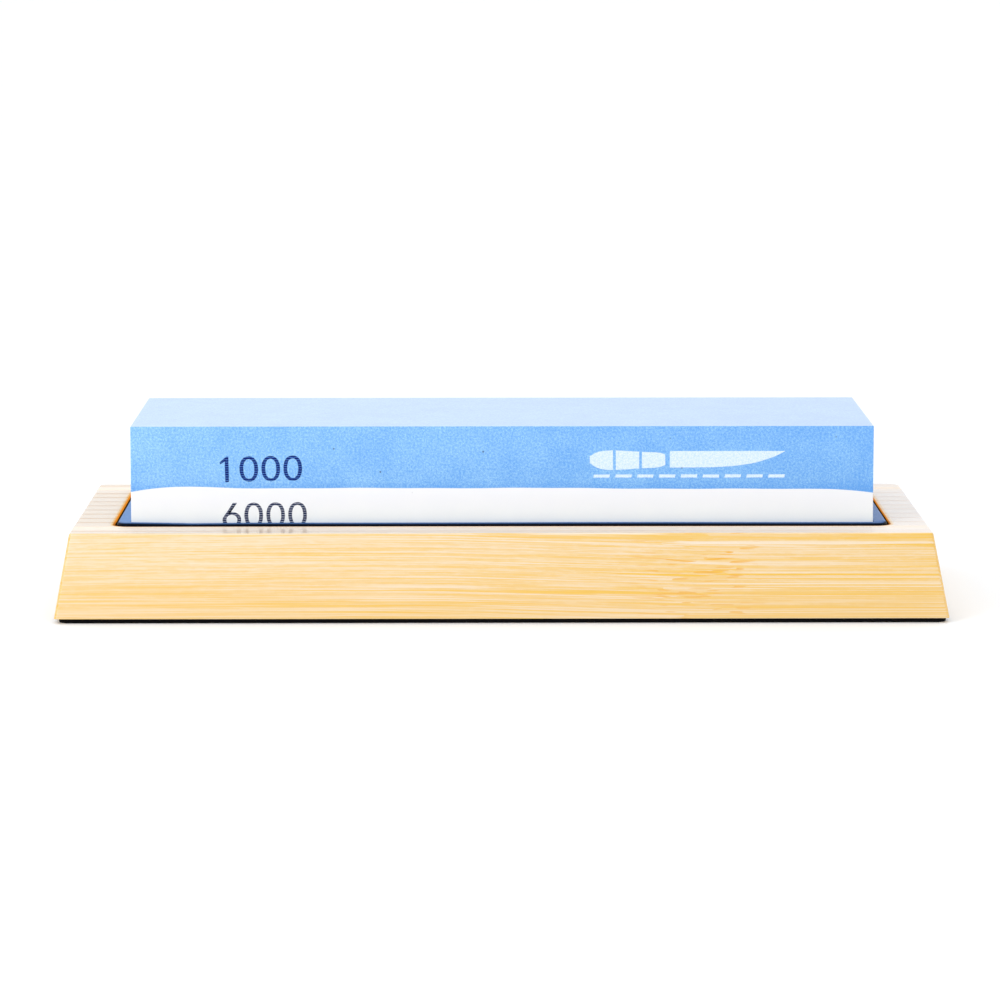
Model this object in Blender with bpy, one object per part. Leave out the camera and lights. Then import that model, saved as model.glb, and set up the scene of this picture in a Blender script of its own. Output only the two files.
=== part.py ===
"""Two-sided sharpening whetstone, resting in a silicone tray that drops into a bamboo bench block.

Frame: +X along the stone, +Y from the front to the rear, +Z up, metres. The origin is the middle of
the underside of the rubber pad that the block stands on. The tray lifts out of the block along +Z,
and the stone lifts out of the tray along +Z.
"""

import math

import bmesh
import bpy
from mathutils import Matrix, Vector

MM = 0.001

# Driving dimensions
CLEARANCE = 0.3 * MM  # left between pieces that touch or are glued

STONE_LENGTH = 180.0 * MM
STONE_WIDTH = 60.0 * MM
STONE_THICKNESS = 28.0 * MM
COARSE_THICKNESS = 15.05 * MM  # of the upper layer, in the middle of the stone
INTERFACE_DROP = 1.0 * MM  # how far the bond line between the layers dips at each end
INTERFACE_BEND = 12.0 * MM  # length of the dip
STONE_CHAMFER = 0.5 * MM

BLOCK_LENGTH = 215.0 * MM  # at the foot
BLOCK_WIDTH = 94.4 * MM
BLOCK_HEIGHT = 20.2 * MM
BLOCK_DRAFT = 3.6 * MM  # how far each side leans in from the foot to the top
BLOCK_CORNER = 1.5 * MM
BLOCK_EDGE = 0.8 * MM  # rounding of the top edges
STRIP_COUNT = 13  # bamboo laminations, side by side along Y

POCKET_DEPTH = 6.5 * MM
POCKET_CORNER = 3.35 * MM
POCKET_PLAY = 0.35 * MM  # between the tray and the pocket wall
TRAY_FLOOR = 2.0 * MM
TRAY_END_WALL = 3.4 * MM
TRAY_SIDE_WALL = 1.4 * MM
TRAY_PROUD = 0.85 * MM  # how far the rim stands above the wood
TRAY_CORNER = 3.0 * MM
TRAY_INNER_CORNER = 0.8 * MM
TRAY_EDGE = 0.4 * MM  # rounding of the rim

PAD_THICKNESS = 0.85 * MM
PAD_INSET = 1.0 * MM  # from the foot of the block
PAD_CORNER = 2.5 * MM

CORNER_STEPS = 8
EDGE_STEPS = 3
BEND_STEPS = 6
SMOOTH_ANGLE = math.radians(30.0)

# Heights, from the floor up
BLOCK_FOOT_Z = PAD_THICKNESS + CLEARANCE
BLOCK_TOP_Z = BLOCK_FOOT_Z + BLOCK_HEIGHT
POCKET_FLOOR_Z = BLOCK_TOP_Z - POCKET_DEPTH
TRAY_FOOT_Z = POCKET_FLOOR_Z + CLEARANCE
TRAY_FLOOR_Z = TRAY_FOOT_Z + TRAY_FLOOR
TRAY_RIM_Z = BLOCK_TOP_Z + TRAY_PROUD
STONE_FOOT_Z = TRAY_FLOOR_Z + CLEARANCE
STONE_TOP_Z = STONE_FOOT_Z + STONE_THICKNESS
BOND_Z = STONE_TOP_Z - COARSE_THICKNESS

# Outlines that follow from the driving dimensions
CAVITY_LENGTH = STONE_LENGTH + 2 * CLEARANCE
CAVITY_WIDTH = STONE_WIDTH + 2 * CLEARANCE
TRAY_LENGTH = CAVITY_LENGTH + 2 * TRAY_END_WALL
TRAY_WIDTH = CAVITY_WIDTH + 2 * TRAY_SIDE_WALL
POCKET_LENGTH = TRAY_LENGTH + 2 * POCKET_PLAY
POCKET_WIDTH = TRAY_WIDTH + 2 * POCKET_PLAY
STRIP_PITCH = BLOCK_WIDTH / STRIP_COUNT

# Colours: base colour, roughness
COARSE_BLUE = ((0.26, 0.58, 0.95), 0.9)
FINE_WHITE = ((0.93, 0.93, 0.96), 0.8)
SILICONE_BLACK = ((0.012, 0.016, 0.026), 0.45)
PAD_BLACK = ((0.010, 0.010, 0.011), 0.8)
BAMBOO_LIGHT = (0.93, 0.72, 0.42)
BAMBOO_DARK = (0.85, 0.58, 0.28)
BAMBOO_ROUGHNESS = 0.35


def clear_scene():
    for obj in list(bpy.data.objects):
        bpy.data.objects.remove(obj, do_unlink=True)


def make_material(name, colour, roughness):
    material = bpy.data.materials.new(name)
    material.use_nodes = True
    shader = material.node_tree.nodes["Principled BSDF"]
    shader.inputs["Base Color"].default_value = (*colour, 1.0)
    shader.inputs["Roughness"].default_value = roughness
    shader.inputs["Metallic"].default_value = 0.0
    return material


def rounded_outline(length, width, corner, height):
    """Counter-clockwise loop of a rectangle with round corners, at one height."""
    points = []
    for sign_x, sign_y, start in ((1, 1, 0.0), (-1, 1, 0.5), (-1, -1, 1.0), (1, -1, 1.5)):
        centre_x = sign_x * (length / 2 - corner)
        centre_y = sign_y * (width / 2 - corner)
        for step in range(CORNER_STEPS + 1):
            angle = math.pi * (start + 0.5 * step / CORNER_STEPS)
            x = centre_x + corner * math.cos(angle)
            y = centre_y + corner * math.sin(angle)
            points.append(Vector((x, y, height)))
    return points


def rim_rounding(radius):
    """(inset, drop) pairs of a quarter round, from the wall up to the flat top."""
    for step in range(EDGE_STEPS + 1):
        angle = 0.5 * math.pi * step / EDGE_STEPS
        yield radius * (1 - math.cos(angle)), radius * (1 - math.sin(angle))


def loft(rings):
    """Mesh skinned over rings that hold the same number of points, with a flat cap on each end."""
    bm = bmesh.new()
    loops = [[bm.verts.new(point) for point in ring] for ring in rings]
    count = len(loops[0])
    for lower, upper in zip(loops, loops[1:]):
        for i in range(count):
            j = (i + 1) % count
            bm.faces.new((lower[i], lower[j], upper[j], upper[i]))
    bm.faces.new(reversed(loops[0]))
    bm.faces.new(loops[-1])
    return bm


def add_object(name, bm, origin, parent, material):
    """Object from a bmesh in the assembly's frame, with its own origin, under a parent empty."""
    mesh = bpy.data.meshes.new(name)
    bm.to_mesh(mesh)
    bm.free()
    mesh.transform(Matrix.Translation(-Vector(origin)))
    mesh.shade_smooth()
    mesh.set_sharp_from_angle(angle=SMOOTH_ANGLE)
    mesh.materials.append(material)
    obj = bpy.data.objects.new(name, mesh)
    bpy.context.scene.collection.objects.link(obj)
    obj.parent = parent
    parent_place = parent["place"] if parent else (0.0, 0.0, 0.0)
    obj.location = Vector(origin) - Vector(parent_place)
    return obj


def add_seat(name, height, parent=None):
    """Empty on a lift axis, where a group of pieces sits."""
    seat = bpy.data.objects.new(name, None)
    seat.empty_display_size = STONE_WIDTH / 2
    seat["place"] = (0.0, 0.0, height)
    bpy.context.scene.collection.objects.link(seat)
    seat.parent = parent
    seat.location.z = height - (parent["place"][2] if parent else 0.0)
    return seat


def bond_height(x):
    """Height of the bond between the two stone layers: level, with a curved dip at each end."""
    past = max(0.0, abs(x) - (STONE_LENGTH / 2 - INTERFACE_BEND))
    return BOND_Z - INTERFACE_DROP * (past / INTERFACE_BEND) ** 2


def stone_stations():
    """X of each cross-section of a stone layer: closer together where the bond line bends."""
    end = STONE_LENGTH / 2
    inner = end - INTERFACE_BEND
    bend = [inner + (INTERFACE_BEND - STONE_CHAMFER) * i / BEND_STEPS for i in range(BEND_STEPS + 1)]
    half = bend + [end]
    return [-x for x in reversed(half)] + half


def stone_layer(outer_z, side):
    """Layer from its honing face at outer_z to the bond. side is 1 for the upper layer, -1 for the lower."""
    rings = []
    for x in stone_stations():
        inset = STONE_CHAMFER if abs(x) > STONE_LENGTH / 2 - STONE_CHAMFER / 2 else 0.0
        half = STONE_WIDTH / 2 - inset
        bond = bond_height(x) + side * CLEARANCE / 2
        face = outer_z - side * inset
        shoulder = face - side * STONE_CHAMFER
        flat = half - STONE_CHAMFER
        section = [(-half, bond), (half, bond), (half, shoulder), (flat, face), (-flat, face), (-half, shoulder)]
        rings.append([Vector((x, side * y, z)) for y, z in section])
    return loft(rings)


def block_blank():
    """The bamboo block before it is cut: sloped sides, round corners, softened top edges."""
    lean = BLOCK_DRAFT / BLOCK_HEIGHT
    levels = [(BLOCK_FOOT_Z, 0.0)] + [(BLOCK_TOP_Z - drop, inset) for inset, drop in rim_rounding(BLOCK_EDGE)]
    rings = []
    for height, edge_inset in levels:
        inset = lean * (height - BLOCK_FOOT_Z) + edge_inset
        corner = BLOCK_CORNER - edge_inset
        rings.append(rounded_outline(BLOCK_LENGTH - 2 * inset, BLOCK_WIDTH - 2 * inset, corner, height))
    return loft(rings)


def cut_away(bm, y, keep):
    """Removes what lies beyond the plane at y, on the side away from keep (1 or -1), and closes the cut."""
    cut = bmesh.ops.bisect_plane(
        bm,
        geom=bm.verts[:] + bm.edges[:] + bm.faces[:],
        dist=1e-8,
        plane_co=(0.0, y, 0.0),
        plane_no=(0.0, -keep, 0.0),
        clear_outer=True,
    )
    edges = [item for item in cut["geom_cut"] if isinstance(item, bmesh.types.BMEdge)]
    bmesh.ops.edgeloop_fill(bm, edges=edges)
    bmesh.ops.recalc_face_normals(bm, faces=bm.faces[:])


def pocket_cutter(parent, material):
    rings = [
        rounded_outline(POCKET_LENGTH, POCKET_WIDTH, POCKET_CORNER, height)
        for height in (POCKET_FLOOR_Z, BLOCK_TOP_Z + POCKET_DEPTH)
    ]
    cutter = add_object("pocket_cutter", loft(rings), (0.0, 0.0, POCKET_FLOOR_Z), parent, material)
    cutter.hide_render = True
    cutter.display_type = "WIRE"
    return cutter


def bamboo_strips(parent):
    """The laminations of the block, front to rear. Those that the pocket reaches are cut by it."""
    cutter = pocket_cutter(parent, make_material("pocket_cutter", BAMBOO_DARK, BAMBOO_ROUGHNESS))
    for index in range(STRIP_COUNT):
        low = -BLOCK_WIDTH / 2 + index * STRIP_PITCH
        high = low + STRIP_PITCH
        bm = block_blank()
        if index > 0:
            low += CLEARANCE / 2
            cut_away(bm, low, keep=1)
        if index < STRIP_COUNT - 1:
            high -= CLEARANCE / 2
            cut_away(bm, high, keep=-1)
        name = f"bamboo_strip_{index + 1:02d}"
        colour = BAMBOO_DARK if index % 2 else BAMBOO_LIGHT
        material = make_material(name, colour, BAMBOO_ROUGHNESS)
        strip = add_object(name, bm, (0.0, (low + high) / 2, BLOCK_FOOT_Z), parent, material)
        if high > -POCKET_WIDTH / 2 and low < POCKET_WIDTH / 2:
            pocket = strip.modifiers.new("pocket", "BOOLEAN")
            pocket.operation = "DIFFERENCE"
            pocket.solver = "EXACT"
            pocket.object = cutter


def rubber_base_pad(parent):
    rings = [
        rounded_outline(BLOCK_LENGTH - 2 * PAD_INSET, BLOCK_WIDTH - 2 * PAD_INSET, PAD_CORNER, height)
        for height in (0.0, PAD_THICKNESS)
    ]
    material = make_material("rubber_base_pad", *PAD_BLACK)
    add_object("rubber_base_pad", loft(rings), (0.0, 0.0, 0.0), parent, material)


def silicone_tray(parent):
    """Shallow open tray: up the outer wall, over the rounded rim, down the inner wall, across the floor."""
    rings = [rounded_outline(TRAY_LENGTH, TRAY_WIDTH, TRAY_CORNER, TRAY_FOOT_Z)]
    rounding = list(rim_rounding(TRAY_EDGE))
    for inset, drop in rounding:
        corner = TRAY_CORNER - inset
        length = TRAY_LENGTH - 2 * inset
        rings.append(rounded_outline(length, TRAY_WIDTH - 2 * inset, corner, TRAY_RIM_Z - drop))
    for inset, drop in reversed(rounding):
        corner = TRAY_INNER_CORNER + inset
        length = CAVITY_LENGTH + 2 * inset
        rings.append(rounded_outline(length, CAVITY_WIDTH + 2 * inset, corner, TRAY_RIM_Z - drop))
    rings.append(rounded_outline(CAVITY_LENGTH, CAVITY_WIDTH, TRAY_INNER_CORNER, TRAY_FLOOR_Z))
    material = make_material("silicone_tray", *SILICONE_BLACK)
    add_object("silicone_tray", loft(rings), (0.0, 0.0, TRAY_FOOT_Z), parent, material)


def stone(parent):
    blue = make_material("coarse_stone_layer", *COARSE_BLUE)
    white = make_material("fine_stone_layer", *FINE_WHITE)
    add_object("coarse_stone_layer", stone_layer(STONE_TOP_Z, 1), (0.0, 0.0, BOND_Z), parent, blue)
    add_object("fine_stone_layer", stone_layer(STONE_FOOT_Z, -1), (0.0, 0.0, STONE_FOOT_Z), parent, white)


def main():
    clear_scene()
    floor = add_seat("block_seat", 0.0)
    tray_seat = add_seat("tray_seat", TRAY_FOOT_Z, floor)
    stone_seat = add_seat("stone_seat", STONE_FOOT_Z, tray_seat)
    rubber_base_pad(floor)
    bamboo_strips(floor)
    silicone_tray(tray_seat)
    stone(stone_seat)


main()
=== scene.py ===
"""Looks of the two-sided whetstone in its bamboo bench block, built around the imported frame.

The frame is in metres: +X along the stone, +Y to the rear, +Z up. The block, the pad, the tray and the
stone take their places from the frame's own boxes. Sizes are written in millimetres and turned into
metres with MM. Materials work in millimetres on the same axes, and the studio in metres.
"""

import math

import bmesh
import bpy
from mathutils import Euler, Matrix, Vector, noise


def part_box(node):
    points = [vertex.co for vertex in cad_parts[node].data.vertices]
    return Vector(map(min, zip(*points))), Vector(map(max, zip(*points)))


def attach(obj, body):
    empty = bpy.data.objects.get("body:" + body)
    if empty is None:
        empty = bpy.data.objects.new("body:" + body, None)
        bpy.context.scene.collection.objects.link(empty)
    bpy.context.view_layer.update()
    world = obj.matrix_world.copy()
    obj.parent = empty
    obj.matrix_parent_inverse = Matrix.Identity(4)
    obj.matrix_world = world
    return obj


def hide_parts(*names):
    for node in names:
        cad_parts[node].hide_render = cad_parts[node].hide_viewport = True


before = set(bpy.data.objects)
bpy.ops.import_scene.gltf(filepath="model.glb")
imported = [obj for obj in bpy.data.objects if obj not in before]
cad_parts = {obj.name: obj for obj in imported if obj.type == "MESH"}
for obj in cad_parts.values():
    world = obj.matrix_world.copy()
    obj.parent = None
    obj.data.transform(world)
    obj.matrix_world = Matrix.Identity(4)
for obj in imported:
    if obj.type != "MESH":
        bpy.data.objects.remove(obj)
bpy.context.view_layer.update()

MM = 0.001
TAU = 2 * math.pi


# ---------------------------------------------------------------- places read from the frame

STRIPS = sorted(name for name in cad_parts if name.startswith("bamboo_strip_"))
BLOCK_LOW = Vector([min(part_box(name)[0][axis] for name in STRIPS) for axis in range(3)])
BLOCK_HIGH = Vector([max(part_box(name)[1][axis] for name in STRIPS) for axis in range(3)])
PAD_LOW, PAD_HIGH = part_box("rubber_base_pad")
TRAY_LOW, TRAY_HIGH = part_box("silicone_tray")
COARSE_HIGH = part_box("coarse_stone_layer")[1]
FINE_LOW, FINE_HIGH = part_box("fine_stone_layer")

STRIP_PITCH = (BLOCK_HIGH.y - BLOCK_LOW.y) / len(STRIPS)
STONE_HALF_X = COARSE_HIGH.x
STONE_HALF_Y = COARSE_HIGH.y


# ---------------------------------------------------------------- sizes of the fine shapes

BLOCK_DRAFT = 3.6 * MM
BLOCK_CORNERS = (4.0 * MM, 1.7 * MM, 0.9 * MM, 0.9 * MM)  # rear right, rear left, front left, front right
BLOCK_RIGHT_TRIM = 0.35 * MM  # the right end is cut a little shorter,
BLOCK_RIGHT_DRAFT = 0.25 * MM  # and slopes more
BLOCK_TOP_EDGE = 0.5 * MM
BLOCK_FOOT_EDGE = 0.12 * MM

POCKET_PLAY = 0.35 * MM  # around the tray
POCKET_HALF_X = TRAY_HIGH.x + POCKET_PLAY
POCKET_HALF_Y = TRAY_HIGH.y + POCKET_PLAY
POCKET_DEPTH = 6.5 * MM
POCKET_CORNER = 3.35 * MM
POCKET_EDGE = 0.15 * MM

TRAY_CORNER = 3.0 * MM
TRAY_OUTER_EDGE = 0.9 * MM
TRAY_SHRINK = 0.15 * MM  # of the moulded tray against its nominal outline
TRAY_INNER_EDGE = 0.25 * MM
TRAY_INNER_CORNER = 0.3 * MM
TRAY_FILLET = 0.25 * MM
TRAY_HUG = 0.05 * MM  # gap between the stone and the soft wall
TRAY_FLOOR = 2.0 * MM

LIP_STEP = 0.18 * MM  # how much lower the long lips are than the end ledges
LIP_BLEND = 0.7 * MM  # width over which a ledge falls to the lip
LIP_WAVES = ((0.03 * MM, 17 * MM, 0.0), (0.02 * MM, 41 * MM, 1.3))  # height, length, phase
LIP_SWELLS = ((0.16 * MM, -88 * MM, 7 * MM), (-0.14 * MM, -75 * MM, 9 * MM))  # height, middle, width

PAD_CORNER = 2.5 * MM
PAD_EDGE = 0.25 * MM

BOND_GAP = 0.3 * MM  # between the two layers in the frame
BOND_MIDDLE = FINE_HIGH.z + BOND_GAP / 2
BOND_DROP = 1.0 * MM  # at each end of the stone,
BOND_BEND = 12.0 * MM  # over this length
BOND_FALL = 0.3 * MM  # from the middle to the right,
BOND_FALL_LENGTH = 60 * MM  # over this length
BOND_WAVES = ((0.05 * MM, 7.3 * MM, 0.0), (0.035 * MM, 2.9 * MM, 1.0))  # height, length, phase
BOND_SWELL = (0.36 * MM, -77 * MM, 10 * MM)  # height, middle, width

STONE_EDGE = 0.22 * MM
STONE_STATIONS = 180
WEAR = 0.45  # how uneven the stone's long edges are,
WEAR_GRAIN = 3 * MM  # in lengths of about this

PRINT_LIFT = 0.02 * MM
PRINT_SINK = 0.05 * MM
PRINT_ROW = 0.56 * MM  # height of one row of ink
INK_SPREAD = 0.05 * MM  # how far ink creeps past its outline,
INK_GRAIN = 0.3 * MM  # in spots of about this size

DIGIT_HEIGHT = 6.15 * MM
DIGIT_WIDTH = 4.5 * MM
DIGIT_PITCH = 5.32 * MM
DIGIT_STEPS = 56  # points in a round outline
STROKE = 0.92 * MM
THIN_STROKE = 0.68 * MM
ZERO_POWER = 2.25
BOWL_HEIGHT = 3.9 * MM
BOWL_POWER = 2.2

# Middle of each number's first digit, from the middle and the top of the stone, and how far its row turns
COARSE_NUMBER, COARSE_TURN = (-66.7 * MM, COARSE_HIGH.z - 10.43 * MM), math.radians(1.0)
FINE_NUMBER, FINE_TURN = (-65.6 * MM, COARSE_HIGH.z - 21.70 * MM), math.radians(0.6)
KNIFE_MIDDLE = (45.2 * MM, COARSE_HIGH.z - 8.1 * MM)
SHARP_ANGLE = 40.0  # in degrees, past which an edge stays sharp,
PRINT_SHARP_ANGLE = 20.0  # and past which one of a print does


# ---------------------------------------------------------------- mesh helpers

def rounded_outline(half_x, half_y, corner, height, corner_steps=10, side_steps=1):
    """Counter-clockwise loop of a rectangle with round corners. Each side has side_steps spans.

    corner is one radius, or four: rear right, rear left, front left, front right.
    """
    radii = corner if isinstance(corner, (list, tuple)) else [corner] * 4
    points = []
    for turn, (sign_x, sign_y) in enumerate(((1, 1), (-1, 1), (-1, -1), (1, -1))):
        radius = radii[turn]
        centre = Vector((sign_x * (half_x - radius), sign_y * (half_y - radius), height))
        arc = []
        for step in range(corner_steps + 1):
            angle = TAU / 4 * (turn + step / corner_steps)
            arc.append(centre + radius * Vector((math.cos(angle), math.sin(angle), 0.0)))
        if points:
            last = points[-1]
            points += [last.lerp(arc[0], i / side_steps) for i in range(1, side_steps)]
        points += arc
    last = points[-1]
    points += [last.lerp(points[0], i / side_steps) for i in range(1, side_steps)]
    return points


def quarter_round(radius, steps):
    """(inset, drop) pairs from the foot of a rounded edge to its top."""
    for step in range(steps + 1):
        angle = TAU / 4 * step / steps
        yield radius * (1 - math.cos(angle)), radius * (1 - math.sin(angle))


def waves(x, parts):
    """Sum of sine waves, each with a height, a length and a phase."""
    return sum(height * math.sin(x / length + phase) for height, length, phase in parts)


def swell(x, height, middle, width):
    """Smooth hump, or a dip if its height is negative."""
    return height * math.exp(-((x - middle) / width) ** 2)


def loft(rings):
    """Closed skin over rings of equal length, with a flat face at each end."""
    bm = bmesh.new()
    loops = [[bm.verts.new(point) for point in ring] for ring in rings]
    count = len(loops[0])
    for lower, upper in zip(loops, loops[1:]):
        for i in range(count):
            j = (i + 1) % count
            bm.faces.new((lower[i], lower[j], upper[j], upper[i]))
    bm.faces.new(reversed(loops[0]))
    bm.faces.new(loops[-1])
    return bm


def object_from(name, bm):
    """New object in the scene from a bmesh, which is used up."""
    mesh = bpy.data.meshes.new(name)
    bm.to_mesh(mesh)
    bm.free()
    made = bpy.data.objects.new(name, mesh)
    bpy.context.scene.collection.objects.link(made)
    return made


def add_piece(name, bm, material, body, node=None, sharp=SHARP_ANGLE):
    """Piece from a bmesh: smooth over its roundings, flat on its faces, riding on a body."""
    piece = object_from(name, bm)
    piece.data.shade_smooth()
    piece.data.set_sharp_from_angle(angle=math.radians(sharp))
    piece.data.materials.append(material)
    weighted = piece.modifiers.new("flat_faces", "WEIGHTED_NORMAL")
    weighted.keep_sharp = True
    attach(piece, body)
    if node:
        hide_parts(node)
    return piece


# ---------------------------------------------------------------- shader helper

class Shader:
    """A material under construction. Methods add nodes and return an output."""

    def __init__(self, name):
        self.material = bpy.data.materials.new(name)
        self.material.use_nodes = True
        self.tree = self.material.node_tree
        self.surface = self.tree.nodes["Principled BSDF"]
        coordinates = self.tree.nodes.new("ShaderNodeTexCoord")
        self.normal = coordinates.outputs["Normal"]
        self.place = self.vector("SCALE", coordinates.outputs["Object"], scale=1 / MM)

    def feed(self, socket, value):
        """Links an output to the socket, or sets a constant on it."""
        if isinstance(value, bpy.types.NodeSocket):
            self.tree.links.new(value, socket)
        elif value is not None:
            if hasattr(value, "__len__") and len(value) == 3 and socket.type == "RGBA":
                value = (*value, 1.0)
            socket.default_value = value

    def math(self, operation, first, second=None, third=None, clamp=False):
        node = self.tree.nodes.new("ShaderNodeMath")
        node.operation = operation
        node.use_clamp = clamp
        for socket, value in zip(node.inputs, (first, second, third)):
            self.feed(socket, value)
        return node.outputs[0]

    def plus(self, first, second):
        return self.math("ADD", first, second)

    def minus(self, first, second):
        return self.math("SUBTRACT", first, second)

    def times(self, product, *factors):
        for factor in factors:
            product = self.math("MULTIPLY", product, factor)
        return product

    def size(self, value):
        return self.math("ABSOLUTE", value)

    def vector(self, operation, first, second=None, scale=None):
        node = self.tree.nodes.new("ShaderNodeVectorMath")
        node.operation = operation
        self.feed(node.inputs[0], first)
        self.feed(node.inputs[1], second)
        if scale is not None:
            self.feed(node.inputs["Scale"], scale)
        return node.outputs[1] if operation == "LENGTH" else node.outputs[0]

    def split(self, vector):
        node = self.tree.nodes.new("ShaderNodeSeparateXYZ")
        self.feed(node.inputs[0], vector)
        return node.outputs

    def join(self, x, y, z):
        node = self.tree.nodes.new("ShaderNodeCombineXYZ")
        for socket, value in zip(node.inputs, (x, y, z)):
            self.feed(socket, value)
        return node.outputs[0]

    def noise(self, vector, scale=1.0, detail=2.0, roughness=0.5):
        node = self.tree.nodes.new("ShaderNodeTexNoise")
        self.feed(node.inputs["Vector"], vector)
        for name, value in (("Scale", scale), ("Detail", detail), ("Roughness", roughness)):
            self.feed(node.inputs[name], value)
        return node.outputs["Fac"]

    def cells(self, vector, scale=1.0):
        """Distance to the nearest of scattered points."""
        node = self.tree.nodes.new("ShaderNodeTexVoronoi")
        self.feed(node.inputs["Vector"], vector)
        self.feed(node.inputs["Scale"], scale)
        return node.outputs["Distance"]

    def random(self, value):
        node = self.tree.nodes.new("ShaderNodeTexWhiteNoise")
        node.noise_dimensions = "1D"
        self.feed(node.inputs["W"], value)
        return node.outputs["Value"]

    def range(self, value, low, high, to_low=0.0, to_high=1.0, smooth=True):
        """Goes from to_low to to_high as the value goes from low to high, and stays there."""
        node = self.tree.nodes.new("ShaderNodeMapRange")
        node.interpolation_type = "SMOOTHSTEP" if smooth else "LINEAR"
        for name, item in (("Value", value), ("From Min", low), ("From Max", high),
                           ("To Min", to_low), ("To Max", to_high)):
            self.feed(node.inputs[name], item)
        return node.outputs["Result"]

    def mix(self, factor, first, second):
        node = self.tree.nodes.new("ShaderNodeMix")
        node.data_type = "RGBA"
        self.feed(node.inputs["Factor"], factor)
        self.feed(node.inputs[6], first)
        self.feed(node.inputs[7], second)
        return node.outputs[2]

    def bump(self, height, strength, distance):
        node = self.tree.nodes.new("ShaderNodeBump")
        for name, value in (("Height", height), ("Strength", strength), ("Distance", distance)):
            self.feed(node.inputs[name], value)
        return node.outputs["Normal"]

    def finish(self, colour, roughness, normal=None, **others):
        """Feeds the surface. coat_weight stands for its socket Coat Weight, and so on."""
        self.feed(self.surface.inputs["Base Color"], colour)
        self.feed(self.surface.inputs["Roughness"], roughness)
        self.feed(self.surface.inputs["Normal"], normal)
        for name, value in others.items():
            self.feed(self.surface.inputs[name.replace("_", " ").title().replace("Ior", "IOR")], value)
        return self.material


# ---------------------------------------------------------------- bamboo

CREAM = (0.91, 0.77, 0.61)
PALE = (0.88, 0.645, 0.355)
HONEY = (0.87, 0.560, 0.200)
GOLDEN = (0.87, 0.515, 0.060)
ORANGE = (0.85, 0.41, 0.04)
END_GRAIN = (0.85, 0.47, 0.06)
GLUE_BROWN = (0.42, 0.18, 0.04)
TOP_SHADE = (0.60, 0.40, 0.27)
END_HIGHLIGHT = (1.0, 0.90, 0.80)
LAND_LIGHT = (1.0, 0.80, 0.58)
EDGE_SHADE = (0.84, 0.25, 0.01)
FRONT_EDGE_SHADE = (0.40, 0.12, 0.01)
WALL_SHADE = (0.10, 0.04, 0.01)

# Noises drawn out along the fibres: how fine along and across them, detail, roughness
FIBRE_NOISES = {
    "tone": (0.005, 0.25, 2.0, 0.5),
    "streak": (0.010, 1.2, 2.0, 0.6),
    "fine": (0.050, 4.0, 1.0, 0.6),
    "lines": (0.009, 2.7, 0.0, 0.5),
    "threads": (0.022, 3.3, 0.0, 0.5),
    "mottle": (0.30, 1.9, 2.0, 0.6),
    "groups": (0.011, 0.30, 1.0, 0.5),
    "dashes": (0.17, 2.0, 0.0, 0.5),
}
# Tints of the flesh and of the bundles: noise, where it starts, where it is full, strength, colour
FLESH_TINTS = (
    ("streak", 0.50, 0.64, 0.25, CREAM), ("streak", 0.48, 0.36, 0.35, HONEY),
    ("mottle", 0.50, 0.62, 0.22, CREAM), ("mottle", 0.47, 0.36, 0.30, HONEY),
    ("fine", 0.54, 0.64, 0.35, CREAM), ("fine", 0.45, 0.36, 0.40, GOLDEN),
)
BUNDLE_TINTS = (
    ("lines", 0.57, 0.66, 1.0, GOLDEN), ("lines", 0.38, 0.31, 1.0, CREAM),
    ("threads", 0.62, 0.70, 0.8, GOLDEN), ("threads", 0.36, 0.30, 0.8, CREAM),
)

# In millimetres
NODE_START, NODE_STEP = 47.0, 73.7  # place of the first strip's node, and how much further the next one is
NODE_LIMIT = 112.0  # from the middle, past which the nodes start again at the other end
NODE_RAGGED = 9.0
NODE_BULGE = 60.0  # length over which the fibres lean before a node
GLUE_REACH = 43.0  # from the middle, past which the sloped faces show no glue


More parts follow.
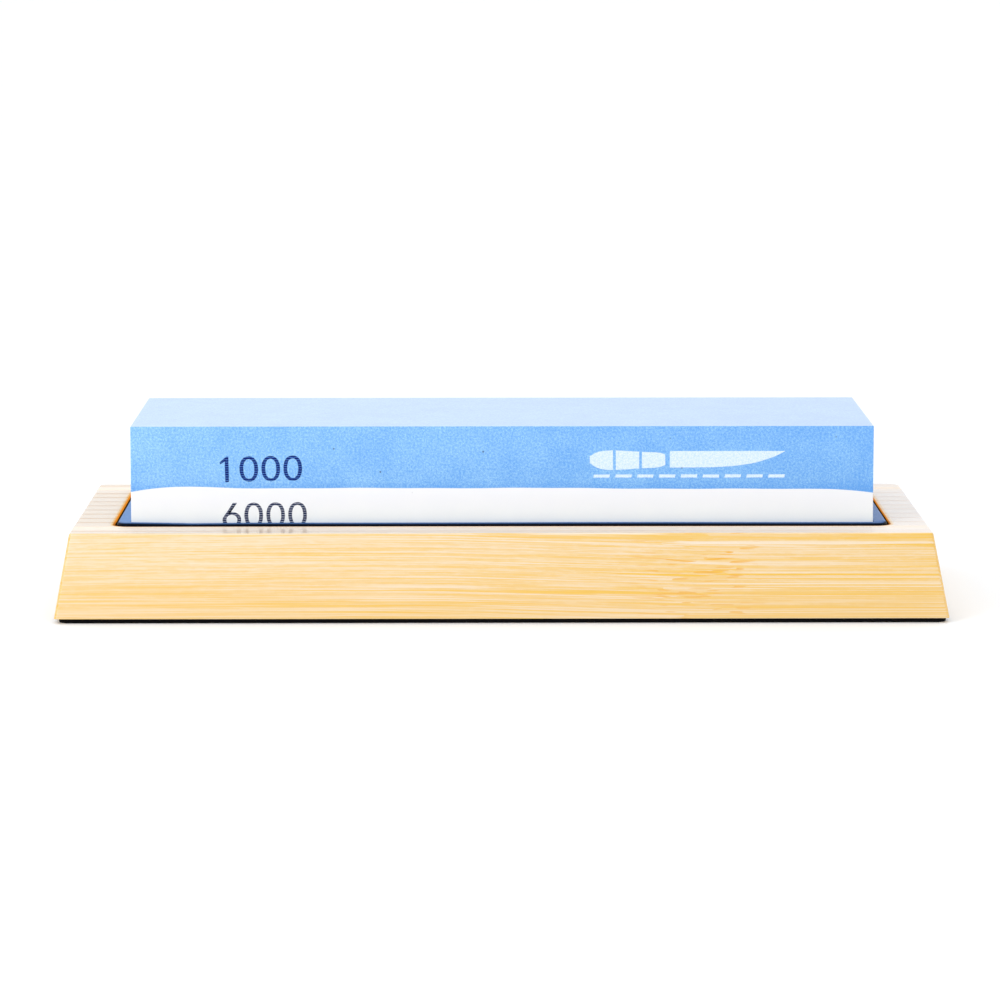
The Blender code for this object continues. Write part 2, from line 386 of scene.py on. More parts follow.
class Bamboo(Shader):
    """Laminated bamboo. The find methods come first, then each colour method tints what is there."""

    def __init__(self):
        super().__init__("bamboo")
        self.x, self.y, self.z = self.split(self.place)
        self.sideways, _, self.up = self.split(self.normal)
        self.colour = PALE

    def tint(self, amount, towards):
        self.colour = self.mix(amount, self.colour, towards)

    def find_strip(self):
        """Number of the strip, how far across it this is from 0 to 1, and a random value of its own."""
        across = self.math("DIVIDE", self.minus(self.y, BLOCK_LOW.y / MM), STRIP_PITCH / MM)
        self.strip = self.math("FLOOR", across)
        self.share = self.minus(across, self.strip)
        self.chance = self.random(self.plus(self.strip, 3.5))
        turned = self.math("MODULO", self.strip, 2.0)
        self.along_culm = self.times(self.x, self.range(turned, 0.0, 1.0, 1.0, -1.0, smooth=False))

    def find_fibres(self):
        """Noises along the fibres, which change at the strip's node and lean a little before it."""
        node_x = self.math("WRAP", self.plus(self.times(self.strip, NODE_STEP), NODE_START),
                           NODE_LIMIT, -NODE_LIMIT)
        past_node = self.minus(self.x, node_x)
        ragged = self.noise(self.vector("MULTIPLY", self.place, (0.0, 0.45, 0.45)))
        ragged = self.range(ragged, 0.3, 0.7, -NODE_RAGGED, NODE_RAGGED)
        beyond = self.math("GREATER_THAN", self.plus(past_node, ragged), 0.0)
        seed = self.plus(self.times(self.strip, 31.0), self.times(beyond, 13.0))
        self.own = self.vector("ADD", self.place, self.join(0.0, seed, self.times(self.chance, 90.0)))
        self.near_node = self.range(self.size(past_node), 20.0, 6.0)

        wander = self.noise(self.vector("MULTIPLY", self.own, (0.007, 0.03, 0.03)), detail=0.0)
        before = self.math("MINIMUM", self.math("MAXIMUM", past_node, -NODE_BULGE), 0.0)
        lean = self.plus(self.times(wander, 2.5), self.times(before, 0.022))
        grain = self.vector("ADD", self.own, self.join(0.0, 0.0, lean))
        self.fibres = {}
        for name, (along, across, detail, roughness) in FIBRE_NOISES.items():
            drawn_out = self.vector("MULTIPLY", grain, (along, across, across))
            self.fibres[name] = self.noise(drawn_out, detail=detail, roughness=roughness)

    def find_pocket(self):
        """Millimetres outwards from the pocket's outline, negative inside it."""
        corner = POCKET_CORNER / MM
        out_x = self.minus(self.size(self.x), POCKET_HALF_X / MM - corner)
        out_y = self.minus(self.size(self.y), POCKET_HALF_Y / MM - corner)
        past_x = self.math("MAXIMUM", out_x, 0.0)
        past_y = self.math("MAXIMUM", out_y, 0.0)
        beyond = self.vector("LENGTH", self.join(past_x, past_y, 0.0))
        inside = self.math("MINIMUM", self.math("MAXIMUM", out_x, out_y), 0.0)
        self.past_edge = self.minus(self.plus(beyond, inside), corner)

    def colour_fibres(self):
        """Bundles are closer together towards one end of the culm, in groups, and low on the block."""
        dense = self.range(self.along_culm, -95.0, 40.0, 0.15, 1.0, smooth=False)
        dense = self.times(dense, self.range(self.fibres["groups"], 0.36, 0.60, 0.35, 1.0))
        dense = self.math("ADD", dense, self.range(self.z, 13.0, 3.0, 0.0, 0.55), clamp=True)
        self.tint(self.range(self.fibres["tone"], 0.38, 0.62, 0.0, 0.55), HONEY)
        self.tint(self.range(self.along_culm, -50.0, 70.0, 0.0, 0.80), HONEY)
        for name, start, full, strength, colour in FLESH_TINTS:
            self.tint(self.range(self.fibres[name], start, full, 0.0, strength), colour)
        for name, start, full, strength, colour in BUNDLE_TINTS:
            self.tint(self.times(self.range(self.fibres[name], start, full, 0.0, strength), dense), colour)
        dashes = self.range(self.fibres["dashes"], 0.66, 0.72, 0.0, 0.95)
        self.tint(self.times(dashes, self.near_node), ORANGE)

    def colour_strips(self):
        """One side of each strip lay near the culm's skin, glue shows at the joints, and tones differ."""
        from_skin = self.size(self.minus(self.share, self.math("GREATER_THAN", self.chance, 0.5)))
        self.tint(self.range(from_skin, 0.35, 0.0, 0.0, 0.30), HONEY)
        joint = self.range(self.size(self.minus(self.share, 0.5)), 0.425, 0.468)
        joint = self.times(joint, self.math("LESS_THAN", self.size(self.y), GLUE_REACH))
        self.glue = self.times(joint, self.range(self.up, 0.5, 0.9, 0.25, 0.85))
        self.tint(self.glue, GLUE_BROWN)
        self.tint(self.range(self.chance, 0.2, 1.0, 0.0, 0.30, smooth=False), HONEY)
        self.tint(self.range(self.z, 15.0, 3.0, 0.0, 0.25), HONEY)
        ripe = self.range(self.along_culm, 20.0, 95.0, 0.0, 0.16)
        self.tint(self.times(ripe, self.range(self.z, 20.8, 19.8, 0.35, 1.0)), GOLDEN)

    def colour_crest(self):
        """A band of dense fibres runs under the block's upper edge, towards the right."""
        band = self.times(self.range(self.z, 19.3, 20.4), self.range(self.z, 21.2, 20.9))
        there = self.times(self.range(self.fibres["groups"], 0.40, 0.55), self.range(self.x, -10.0, 45.0))
        self.tint(self.times(band, there, 0.75), GOLDEN)

    def colour_ends(self):
        """End grain shows its bundles as dots. It and the upright corners soak up more lacquer."""
        end = self.range(self.size(self.sideways), 0.15, 0.60)
        bundles = self.cells(self.vector("MULTIPLY", self.own, (0.012, 0.85, 0.85)))
        self.tint(self.times(end, self.range(bundles, 0.36, 0.20, 0.45, 0.90)), END_GRAIN)

    def colour_tops(self):
        """Painted shade: tops darker and redder than the sides. Painted highlight: paler at the right end."""
        self.top = self.range(self.up, 0.80, 0.95)
        # painted shade on the upward faces, against the overhead light
        self.tint(self.times(self.top, 0.20), TOP_SHADE)
        # painted highlight on the tops at the right end
        self.tint(self.times(self.top, self.range(self.x, 82.0, 95.0, 0.0, 0.40)), END_HIGHLIGHT)

    def colour_pocket(self):
        """Painted shade: dark orange along the pocket's edge, most at the front, least at the ends; dark
        brown on its walls.
        """
        top = BLOCK_HIGH.z / MM
        above = self.range(self.z, top - 2.0, top - 0.8)
        thinner_right = self.range(self.x, 60.0, 90.0, 0.0, 0.25)
        thinner_left = self.range(self.x, -60.0, -90.0, 0.0, 0.12)
        thinner = self.plus(thinner_right, thinner_left)
        # painted shade along the pocket's edge, darkest at the front
        edge_shade = self.range(self.plus(self.past_edge, thinner), 0.90, 0.50)
        edge_shade_colour = self.mix(self.range(self.y, -20.0, -31.0), EDGE_SHADE, FRONT_EDGE_SHADE)
        self.tint(self.times(edge_shade, above, 0.97), edge_shade_colour)
        # painted shade on the pocket's walls, in the gap around the tray
        wall = self.times(self.range(self.past_edge, 0.14, 0.02), self.range(self.up, 0.6, 0.3))
        self.tint(self.times(wall, 0.85), WALL_SHADE)

    def lacquer_and_land_light(self):
        """Weight of the lacquer: none in the pocket, worn on the long lands, sunk over glue and fibres. Also
        paints light on the long lands.
        """
        past_side = self.minus(self.size(self.y), POCKET_HALF_Y / MM)
        beside_ends = self.math("LESS_THAN", past_side, 0.0)
        kept = self.math("MAXIMUM", self.range(past_side, 0.6, 11.0, 0.30, 1.0), beside_ends)
        # painted light on the tops beside the long sides of the pocket, where the tray's rim shades them
        land_light = self.times(self.minus(1.0, kept), self.range(self.past_edge, 0.45, 0.65))
        land_light = self.math("MULTIPLY", land_light, 1.8, clamp=True)
        self.tint(self.times(land_light, self.top), LAND_LIGHT)
        sunk = self.math("MAXIMUM", self.glue, self.range(self.fibres["lines"], 0.57, 0.68, 0.0, 0.5))
        return self.times(self.range(self.past_edge, 0.7, 1.6), kept, self.minus(1.0, sunk))


def bamboo_material():
    s = Bamboo()
    s.find_strip()
    s.find_fibres()
    s.find_pocket()
    s.colour_fibres()
    s.colour_strips()
    s.colour_crest()
    s.colour_ends()
    s.colour_tops()
    s.colour_pocket()
    lacquer = s.lacquer_and_land_light()
    relief = s.plus(s.times(s.fibres["streak"], 0.6), s.times(s.fibres["fine"], 0.4))
    sheen = s.times(s.range(s.past_edge, 0.8, 1.2), s.range(s.x, 0.0, 90.0, 0.45, 0.70))
    return s.finish(
        s.colour, s.range(s.fibres["fine"], 0.3, 0.7, 0.28, 0.36), s.bump(relief, 0.2, 0.08 * MM),
        coat_weight=lacquer, coat_roughness=0.17, coat_ior=1.5,
        specular_ior_level=s.range(lacquer, 0.2, 0.9, 0.0, 0.5),
        sheen_weight=sheen, sheen_roughness=0.35, sheen_tint=(1.0, 0.955, 0.985),
    )


# ---------------------------------------------------------------- other materials

def stone_speckle(s):
    """Grain of the bonded abrasive, dark to light from 0 to 1."""
    coarse = s.noise(s.place, scale=1.9, roughness=0.8)
    fine = s.noise(s.place, scale=4.6, detail=1.0)
    return s.plus(s.range(coarse, 0.38, 0.62, 0.0, 0.6, smooth=False),
                  s.range(fine, 0.38, 0.62, 0.0, 0.4, smooth=False))


def coarse_material():
    """Blue abrasive: speckled, with a few pits, darker near the bond, and with painted shade darkening it to
    the right.
    """
    dark, light, pit = (0.080, 0.335, 0.84), (0.35, 0.66, 0.94), (0.02, 0.10, 0.32)
    s = Shader("coarse_abrasive")
    x, _, z = s.split(s.place)
    speckle = stone_speckle(s)
    cloud = s.noise(s.place, scale=0.12, detail=3.0, roughness=0.6)
    amount = s.plus(speckle, s.range(cloud, 0.35, 0.65, -0.10, 0.10, smooth=False))
    bond = BOND_MIDDLE / MM
    amount = s.minus(amount, s.range(z, bond + 2.2, bond - 0.3, 0.0, 0.25))
    # painted shade: darker to the right, away from the key light at the left
    amount = s.minus(amount, s.range(x, -90.0, 90.0, 0.0, 0.22, smooth=False))
    colour = s.mix(s.math("MAXIMUM", amount, 0.0), dark, light)
    pits = s.range(s.cells(s.place, scale=0.14), 0.046, 0.022)
    colour = s.mix(s.times(pits, 0.9), colour, pit)
    return s.finish(
        colour, 0.6, s.bump(speckle, 0.3, 0.10 * MM), coat_weight=1.0, coat_roughness=0.38,
        sheen_weight=0.8, sheen_roughness=0.4, sheen_tint=(0.93, 0.92, 1.0),
    )


def fine_material():
    """White abrasive: nearly smooth; painted light makes its lower part, in the tray's shade, brighter and
    bluer.
    """
    high, low, cloudy, pit = (0.905, 0.915, 0.945), (0.945, 0.99, 1.0), (0.82, 0.86, 0.95), (0.35, 0.36, 0.38)
    s = Shader("fine_abrasive")
    z = s.split(s.place)[2]
    grain = s.noise(s.place, scale=5.0, roughness=0.6)
    cloud = s.noise(s.place, scale=0.16)
    amount = s.plus(s.range(grain, 0.35, 0.65, 0.0, 0.10), s.range(cloud, 0.35, 0.65, 0.0, 0.10))
    # painted light: the lower part, which the tray shades, is brighter and bluer
    colour = s.mix(amount, s.mix(s.range(z, 28.0, 22.0), high, low), cloudy)
    pits = s.range(s.cells(s.place, scale=0.09), 0.030, 0.014)
    colour = s.mix(s.times(pits, 0.5), colour, pit)
    return s.finish(
        colour, 0.6, s.bump(grain, 0.12, 0.05 * MM),
        sheen_weight=0.2, sheen_roughness=0.3, sheen_tint=(1.0, 1.0, 1.0),
    )


def silicone_material():
    """Black silicone with fine dust. The tops of its rim are painted with a bluish reflection of the stone
    and the sky.
    """
    black, dusty = (0.0015, 0.002, 0.004), (0.008, 0.012, 0.025)
    reflected_blue, dusty_reflected_blue = (0.02, 0.075, 0.25), (0.05, 0.12, 0.30)
    s = Shader("silicone")
    x, _, z = s.split(s.place)
    grain = s.noise(s.place, scale=6.0, roughness=0.7)
    dust = s.noise(s.place, scale=1.6, detail=4.0, roughness=0.75)
    rim = TRAY_HIGH.z / MM
    near_rim = s.range(z, rim - 1.6, rim - 0.8, 0.15, 1.0)
    rim_top = s.times(s.range(s.split(s.normal)[2], 0.65, 0.98), near_rim)
    colour = s.mix(s.range(dust, 0.50, 0.75, 0.0, 0.5), black, dusty)
    # painted reflection: rim tops bluish, varied by dust
    colour = s.mix(rim_top, colour, s.mix(dust, reflected_blue, dusty_reflected_blue))
    return s.finish(
        colour, s.range(dust, 0.35, 0.7, 0.30, 0.48), s.bump(grain, 0.2, 0.05 * MM),
        specular_ior_level=s.range(rim_top, 0.0, 1.0, 0.08, 0.25), specular_tint=(0.45, 0.65, 1.0),
        sheen_weight=s.times(rim_top, s.range(x, -80.0, 80.0, 0.9, 0.35)),
        sheen_roughness=0.35, sheen_tint=(0.25, 0.52, 1.0),
    )


def rubber_material():
    black, dusty = (0.0015, 0.0015, 0.002), (0.006, 0.006, 0.007)
    s = Shader("base_rubber")
    grain = s.noise(s.place, scale=4.0, detail=3.0, roughness=0.7)
    dust = s.noise(s.place, scale=0.5, detail=4.0, roughness=0.7)
    colour = s.mix(s.range(dust, 0.5, 0.75, 0.0, 0.4), black, dusty)
    return s.finish(colour, s.range(grain, 0.3, 0.7, 0.6, 0.8), s.bump(grain, 0.35, 0.1 * MM),
                    specular_ior_level=0.1)


def ink_material(name, ink, thin_ink):
    """Ink laid in fine rows by a print head, with thin gaps where the stone shows through."""
    s = Shader(name)
    z = s.split(s.place)[2]
    blot = s.noise(s.place, scale=2.6, roughness=0.7)
    row = s.plus(s.math("DIVIDE", z, PRINT_ROW / MM), s.times(blot, 0.5))
    from_row = s.size(s.minus(s.math("FRACT", row), 0.5))
    gap = s.times(s.range(from_row, 0.28, 0.46), s.range(blot, 0.38, 0.58, 0.55, 1.0))
    return s.finish(s.mix(gap, ink, thin_ink), 0.7, specular_ior_level=0.1)


def white_print_material():
    """White print that soaks into the grain of the stone."""
    stone_blue, white = (0.26, 0.57, 0.95), (0.86, 0.93, 1.0)
    s = Shader("white_print")
    cover = s.range(stone_speckle(s), 0.1, 0.9, 0.52, 0.92, smooth=False)
    return s.finish(s.mix(cover, stone_blue, white), 0.7)


def floor_material():
    s = Shader("studio_floor")
    soft = s.noise(s.place, scale=0.01)
    colour = s.mix(s.range(soft, 0.3, 0.7), (0.95, 0.95, 0.95), (0.97, 0.97, 0.97))
    return s.finish(colour, 0.6)


# ---------------------------------------------------------------- bamboo block

def block_blank():
    """The whole block before it is cut into strips: sloped sides, round corners, eased edges."""
    height = BLOCK_HIGH.z - BLOCK_LOW.z
    lean = BLOCK_DRAFT / height
    levels = [(drop, inset) for inset, drop in quarter_round(BLOCK_FOOT_EDGE, 3)]
    levels += [(height - drop, inset) for inset, drop in quarter_round(BLOCK_TOP_EDGE, 5)]
    rings = []
    for rise, eased in sorted(levels):
        inset = lean * rise + eased
        corners = [radius - eased for radius in BLOCK_CORNERS]
        ring = rounded_outline(BLOCK_HIGH.x - inset, BLOCK_HIGH.y - inset, corners, BLOCK_LOW.z + rise)
        for point in ring:
            if point.x > 0:
                point.x -= BLOCK_RIGHT_TRIM + BLOCK_RIGHT_DRAFT * rise / height
        rings.append(ring)
    return loft(rings)


def pocket_cutter():
    """What the router takes out: straight walls that flare over a small round at the top edge."""
    levels = [(0.0, BLOCK_HIGH.z - POCKET_DEPTH)]
    levels += [(inset, BLOCK_HIGH.z - drop) for inset, drop in quarter_round(POCKET_EDGE, 4)]
    levels.append((POCKET_EDGE, BLOCK_HIGH.z + MM))
    rings = [
        rounded_outline(POCKET_HALF_X + spread, POCKET_HALF_Y + spread, POCKET_CORNER + spread, height)
        for spread, height in levels
    ]
    return object_from("pocket_cutter", loft(rings))


def cut_away(bm, y, keep):
    """Removes what lies beyond the plane at y, on the side away from keep (1 or -1), and closes the cut."""
    cut = bmesh.ops.bisect_plane(
        bm, geom=bm.verts[:] + bm.edges[:] + bm.faces[:], dist=1e-8,
        plane_co=(0.0, y, 0.0), plane_no=(0.0, -keep, 0.0), clear_outer=True,
    )
    edges = [item for item in cut["geom_cut"] if isinstance(item, bmesh.types.BMEdge)]
    bmesh.ops.edgeloop_fill(bm, edges=edges)
    bmesh.ops.recalc_face_normals(bm, faces=bm.faces[:])


def without(bm, cutter):
    """The bmesh with the cutter taken out of it."""
    blank = object_from("uncut", bm)
    pocket = blank.modifiers.new("pocket", "BOOLEAN")
    pocket.operation = "DIFFERENCE"
    pocket.solver = "EXACT"
    pocket.object = cutter
    bpy.context.view_layer.update()
    result = bmesh.new()
    result.from_object(blank, bpy.context.evaluated_depsgraph_get())
    bpy.data.objects.remove(blank, do_unlink=True)
    return result


def build_block():
    material = bamboo_material()
    cutter = pocket_cutter()
    pocket_reach = POCKET_HALF_Y + POCKET_EDGE
    for index, node in enumerate(STRIPS):
        low = BLOCK_LOW.y + index * STRIP_PITCH
        high = low + STRIP_PITCH
        bm = block_blank()
        if index > 0:
            cut_away(bm, low, keep=1)
        if index < len(STRIPS) - 1:
            cut_away(bm, high, keep=-1)
        if high > -pocket_reach and low < pocket_reach:
            bm = without(bm, cutter)
        add_piece(f"bamboo_lath_{index + 1:02d}", bm, material, "base", node)
    bpy.data.objects.remove(cutter, do_unlink=True)


# ---------------------------------------------------------------- rubber pad and silicone tray

def build_pad():
    """Thin sheet under the block, up to the wood, with its lower edge eased."""
    levels = [(drop, inset) for inset, drop in quarter_round(PAD_EDGE, 3)]
    levels.append((BLOCK_LOW.z - PAD_LOW.z, 0.0))
    rings = [
        rounded_outline(PAD_HIGH.x - inset, PAD_HIGH.y - inset, PAD_CORNER - inset, PAD_LOW.z + rise)
        for rise, inset in sorted(levels)
    ]
    add_piece("base_pad", loft(rings), rubber_material(), "base", "rubber_base_pad")


def lip_level(x):
    """Height of a long lip against the end ledges: a little lower, with the waves of a soft moulding."""
    return waves(x, LIP_WAVES) + sum(swell(x, *hump) for hump in LIP_SWELLS) - LIP_STEP


def tray_ring(half_x, half_y, corner, height, wavy=False):
    """Outline of the tray at one height. On the rim its long sides follow the lips."""
    points = rounded_outline(half_x, half_y, corner, height, corner_steps=8, side_steps=24)
    for point in points:
        share = (abs(point.y) - STONE_HALF_Y + LIP_BLEND) / LIP_BLEND
        if wavy and share > 0:
            point.z += lip_level(point.x) * min(1.0, share)
    return points


def build_tray():
    """Soft tray: up the outer wall, over the rim, down the inner wall and across the floor."""
    outer_x, outer_y = TRAY_HIGH.x - TRAY_SHRINK, TRAY_HIGH.y - TRAY_SHRINK
    inner_x, inner_y = STONE_HALF_X + TRAY_HUG, STONE_HALF_Y + TRAY_HUG
    top = TRAY_HIGH.z
    floor = TRAY_LOW.z + TRAY_FLOOR

    rings = [tray_ring(outer_x, outer_y, TRAY_CORNER, TRAY_LOW.z)]
    for inset, drop in quarter_round(TRAY_OUTER_EDGE, 6):
        rings.append(tray_ring(outer_x - inset, outer_y - inset, TRAY_CORNER - inset, top - drop, wavy=True))
    for inset, drop in reversed(list(quarter_round(TRAY_INNER_EDGE, 4))):
        corner = TRAY_INNER_CORNER + inset
        rings.append(tray_ring(inner_x + inset, inner_y + inset, corner, top - drop, wavy=True))
    for inset, rise in quarter_round(TRAY_FILLET, 4):
        rings.append(tray_ring(inner_x - inset, inner_y - inset, TRAY_INNER_CORNER, floor + rise))
    add_piece("soft_tray", loft(rings), silicone_material(), "tray", "silicone_tray")


# ---------------------------------------------------------------- stone

def bond_height(x):
    """Height of the bond: a slow wander of the pressed powder, lower to the right, a dip at each end."""
    past = max(0.0, abs(x) - (STONE_HALF_X - BOND_BEND)) / BOND_BEND
    rightwards = min(1.0, max(0.0, x / BOND_FALL_LENGTH))
    fall = BOND_FALL * rightwards ** 2 * (3 - 2 * rightwards)
    return BOND_MIDDLE - BOND_DROP * past ** 2 - fall + waves(x, BOND_WAVES) + swell(x, *BOND_SWELL)


def worn_edge(x, seed):
    """Rounding of a stone's long edge at x, uneven as the abrasive crumbles."""
    return STONE_EDGE * (1 + WEAR * noise.noise(Vector((x / WEAR_GRAIN, seed, 0.0))))


def stone_layer(face_z, side):
    """Layer from its honing face to the bond. side is 1 for the upper layer and -1 for the lower."""
    rounding = list(quarter_round(1.0, 3))
    flat = STONE_HALF_X - STONE_EDGE
    stations = [(-STONE_HALF_X + STONE_EDGE * drop, STONE_EDGE * inset) for inset, drop in reversed(rounding)]
    stations += [(flat * (2 * i / STONE_STATIONS - 1), 0.0) for i in range(1, STONE_STATIONS)]
    stations += [(STONE_HALF_X - STONE_EDGE * drop, STONE_EDGE * inset) for inset, drop in rounding]
    rings = []
    for x, end_inset in stations:
        half = STONE_HALF_Y - end_inset
        face = face_z - side * end_inset
        bond = bond_height(x)
        front, rear = worn_edge(x, side + 5.0), worn_edge(x, side + 9.0)
        section = [(-half, bond), (half, bond)]
        section += [(half - rear * inset, face - side * rear * drop) for inset, drop in rounding]
        section += [(front * inset - half, face - side * front * drop) for inset, drop in reversed(rounding)]
        rings.append([Vector((x, side * y, z)) for y, z in section])
    return loft(rings)


def build_stone():
    add_piece("coarse_layer", stone_layer(COARSE_HIGH.z, 1), coarse_material(), "stone",
              "coarse_stone_layer")
    add_piece("fine_layer", stone_layer(FINE_LOW.z, -1), fine_material(), "stone",
              "fine_stone_layer")


# ---------------------------------------------------------------- printed marks

def slab(bm, loops, place, turn=0.0):
    """Closed thin plate on the front of the stone: an outer loop, and an inner loop for a hole."""
    spin = Matrix.Rotation(turn, 2)
    plates = []
    for depth in (-STONE_HALF_Y - PRINT_LIFT, -STONE_HALF_Y + PRINT_SINK):
        rows = []
        for loop in loops:
            row = []
            for point in loop:
                spun = spin @ Vector(point)
                x, z = place[0] + spun.x, place[1] + spun.y
                creep = noise.noise_vector(Vector((x, 0.0, z)) / INK_GRAIN) * INK_SPREAD
                row.append(bm.verts.new((x + creep.x, depth, z + creep.z)))
            rows.append(row)
        plates.append(rows)
    count = len(loops[0])
    for rows in plates:
        if len(loops) == 1:
            bm.faces.new(rows[0])
            continue
        for i in range(count):
            j = (i + 1) % count
            bm.faces.new((rows[0][i], rows[0][j], rows[1][j], rows[1][i]))
    for front, back in zip(*plates):
        for i in range(count):
            j = (i + 1) % count
            bm.faces.new((front[i], front[j], back[j], back[i]))


def oval(width, height, power, middle=0.0):
    """Counter-clockwise superellipse, with its middle that far above the origin."""
    points = []
    for i in range(DIGIT_STEPS):
        angle = TAU * i / DIGIT_STEPS
        c, s = math.cos(angle), math.sin(angle)
        points.append((width / 2 * math.copysign(abs(c) ** (2 / power), c),
                       middle + height / 2 * math.copysign(abs(s) ** (2 / power), s)))
    return points


def draw_zero(bm, place, turn):
    outer = oval(DIGIT_WIDTH, DIGIT_HEIGHT, ZERO_POWER)
    inner = oval(DIGIT_WIDTH - 2 * STROKE, DIGIT_HEIGHT - 2 * THIN_STROKE, ZERO_POWER)
    slab(bm, [outer, inner], place, turn)


def draw_one(bm, place, turn):
    """A stem with a slanting flag at its upper left."""
    top, half = DIGIT_HEIGHT / 2, STROKE / 2
    flag, flag_drop, flag_depth, flag_slant = 1.25 * MM, 1.30 * MM, 0.55 * MM, 0.1 * MM
    crotch_drop, peak = 1.15 * MM, -0.15 * MM
    tip = -half - flag
    outline = [(-half, -top), (half, -top), (half, top), (peak, top), (tip, top - flag_drop),
               (tip + flag_slant, top - flag_drop - flag_depth), (-half, top - crotch_drop)]
    slab(bm, [outline], place, turn)


def draw_six(bm, place, turn):
    """One outline: up the straight stem, over its cut top, and round the bowl with its hole."""
    top = DIGIT_HEIGHT / 2
    middle = BOWL_HEIGHT / 2 - top
    outline = [Vector(point) for point in oval(DIGIT_WIDTH, BOWL_HEIGHT, BOWL_POWER, middle)]
    inner = oval(DIGIT_WIDTH - 2 * STROKE, BOWL_HEIGHT - 2 * THIN_STROKE, BOWL_POWER, middle)
    stem_right, stem_left = Vector((1.35 * MM, top)), Vector((0.35 * MM, top))
    first, cut, last = 17, 21, 26  # points of the bowl that become the foot, the top and the foot of the stem
    foot_right, foot_left = outline[first], outline[last]
    for i in range(first + 1, cut + 1):
        outline[i] = foot_right.lerp(stem_right, (i - first) / (cut - first))
    for i in range(cut + 1, last):
        outline[i] = stem_left.lerp(foot_left, (i - cut - 1) / (last - cut - 1))
    slab(bm, [outline, inner], place, turn)


def grit_number(name, digits, first, turn, material):
    """A row of plain digits on the front of the stone, from the middle of the first one."""
    draw = {"0": draw_zero, "1": draw_one, "6": draw_six}
    bm = bmesh.new()
    for i, digit in enumerate(digits):
        along = i * DIGIT_PITCH
        draw[digit](bm, (first[0] + along, first[1] + along * math.tan(turn)), turn)
    bmesh.ops.recalc_face_normals(bm, faces=bm.faces[:])
    add_piece(name, bm, material, "stone", sharp=PRINT_SHARP_ANGLE)


def draw_handle(bm, middle):
    """Bellied handle of the knife in three parts."""
    start, length, depth, gap, thinnest = -24.0 * MM, 19.0 * MM, 4.4 * MM, 0.7 * MM, 0.9 * MM
    parts, steps = 3, 12
    for part in range(parts):
        low, high = part / parts, (part + 1) / parts - gap / length
        upper, lower = [], []
        for i in range(steps + 1):
            t = low + (high - low) * i / steps
            half = depth / 2 * (1 - abs(2 * t - 1) ** 5) ** 0.5 * (1 + 0.10 * math.sin(TAU * t))
            half = max(half, thinnest)
            upper.append((start + length * t, half * 0.92))
            lower.append((start + length * t, -half * 1.08))
        slab(bm, [lower + upper[::-1]], middle)


def draw_blade(bm, middle):
    """Blade with a straight spine and a belly that rises to the point."""
    start, length, depth, steps = -4.6 * MM, 28.0 * MM, 4.0 * MM, 20
    spine_share = 0.62
    belly = [(start + length * i / steps, -depth / 2 + depth * (i / steps) ** 4) for i in range(steps + 1)]
    spine = [(start + length * spine_share, depth / 2), (start, depth / 2)]
    slab(bm, [belly + spine], middle)


def draw_strokes(bm, middle):
    """Row of short slanting strokes under the knife."""
    count, pitch, half, height, slant, foot = 9, 5.3 * MM, 1.95 * MM, 0.75 * MM, 0.15 * MM, -4.45 * MM
    for i in range(count):
        u = (i - (count - 1) / 2) * pitch
        lower = [(u - half, foot), (u + half, foot)]
        upper = [(u + half + slant, foot + height), (u - half + slant, foot + height)]
        slab(bm, [lower + upper], middle)


def build_knife_mark(material):
    """A plain pictogram of a carving knife above a row of strokes on a stone."""
    bm = bmesh.new()
    for draw in (draw_handle, draw_blade, draw_strokes):
        draw(bm, KNIFE_MIDDLE)
    bmesh.ops.recalc_face_normals(bm, faces=bm.faces[:])
    add_piece("knife_mark", bm, material, "stone", sharp=PRINT_SHARP_ANGLE)


def build_marks():
    ink_blue = ink_material("ink_on_coarse", (0.004, 0.014, 0.14), (0.09, 0.24, 0.66))
    ink_grey = ink_material("ink_on_fine", (0.018, 0.026, 0.070), (0.50, 0.54, 0.66))
    grit_number("grit_1000", "1000", COARSE_NUMBER, COARSE_TURN, ink_blue)
    grit_number("grit_6000", "6000", FINE_NUMBER, FINE_TURN, ink_grey)
    build_knife_mark(white_print_material())


# ---------------------------------------------------------------- studio

FLOOR_HALF = 40.0
WORLD_COLOUR = (0.935, 0.965, 1.0, 1.0)
# Strength of the surroundings along an axis of the view direction: from, to, strength there
WORLD_FADES = (("Y", -1.0, 0.4, 0.66, 0.94), ("Z", 0.0, 1.0, 0.0, 0.42))
SOFTBOX_COLOUR = (0.94, 0.97, 1.0)

CAMERA_LENS = 152.80
CAMERA_PLACE = (-0.00613, -1.04917, COARSE_HIGH.z + 0.12598)
CAMERA_PITCH, CAMERA_YAW, CAMERA_ROLL = math.radians(8.041), math.radians(0.314), math.radians(-0.03)


def build_floor():
    bm = bmesh.new()
    bmesh.ops.create_grid(bm, x_segments=1, y_segments=1, size=FLOOR_HALF)
    floor = object_from("studio_floor", bm)
    floor.data.materials.append(floor_material())
    floor.location.z = PAD_LOW.z


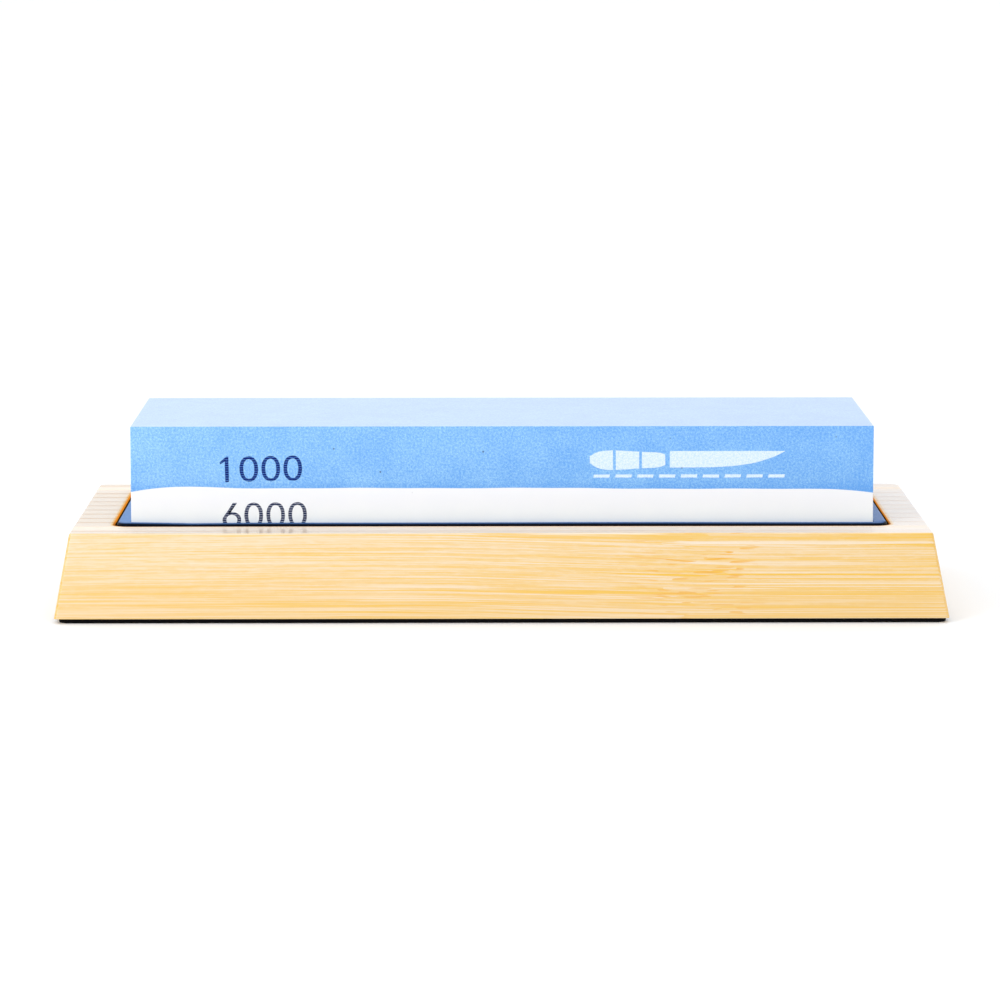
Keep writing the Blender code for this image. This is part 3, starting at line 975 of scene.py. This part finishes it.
def build_world():
    """White surroundings: brightest overhead, even at the rear, dimmer behind the camera."""
    world = bpy.data.worlds.new("studio")
    bpy.context.scene.world = world
    world.use_nodes = True
    tree = world.node_tree
    coordinates = tree.nodes.new("ShaderNodeTexCoord")
    split = tree.nodes.new("ShaderNodeSeparateXYZ")
    tree.links.new(coordinates.outputs["Generated"], split.inputs[0])
    total = tree.nodes.new("ShaderNodeMath")
    for socket, (axis, low, high, at_low, at_high) in zip(total.inputs, WORLD_FADES):
        fade = tree.nodes.new("ShaderNodeMapRange")
        for name, value in (("From Min", low), ("From Max", high), ("To Min", at_low), ("To Max", at_high)):
            fade.inputs[name].default_value = value
        tree.links.new(split.outputs[axis], fade.inputs["Value"])
        tree.links.new(fade.outputs["Result"], socket)
    background = tree.nodes["Background"]
    tree.links.new(total.outputs[0], background.inputs["Strength"])
    background.inputs["Color"].default_value = WORLD_COLOUR


def add_softbox(name, place, target, size, power):
    light = bpy.data.lights.new(name, "AREA")
    light.color = SOFTBOX_COLOUR
    light.shape = "SQUARE"
    light.size = size
    light.energy = power
    softbox = bpy.data.objects.new(name, light)
    softbox.location = place
    softbox.rotation_euler = (Vector(target) - Vector(place)).to_track_quat("-Z", "Y").to_euler()
    bpy.context.scene.collection.objects.link(softbox)


def build_camera():
    """Camera at the height and distance that the photographed edges give, rolled by a hair."""
    camera = bpy.data.cameras.new("camera")
    camera.sensor_width = 36.0
    camera.lens = CAMERA_LENS
    camera.clip_start = 0.05
    holder = bpy.data.objects.new("camera", camera)
    holder.location = CAMERA_PLACE
    aim = Euler((TAU / 4 - CAMERA_PITCH, 0.0, -CAMERA_YAW)).to_matrix()
    holder.rotation_euler = (aim @ Matrix.Rotation(CAMERA_ROLL, 3, "Z")).to_euler()
    bpy.context.scene.collection.objects.link(holder)
    bpy.context.scene.camera = holder


build_camera()
build_block()
build_pad()
build_tray()
build_stone()
build_marks()
build_floor()
build_world()
add_softbox("key_left", place=(-0.50, -0.60, 0.42), target=(-0.05, 0.0, 0.03), size=0.35, power=1.85)
add_softbox("fill_top", place=(0.0, 0.1, 1.1), target=(0.0, 0.0, 0.0), size=1.0, power=0.5)
bpy.context.scene.view_settings.view_transform = "Standard"
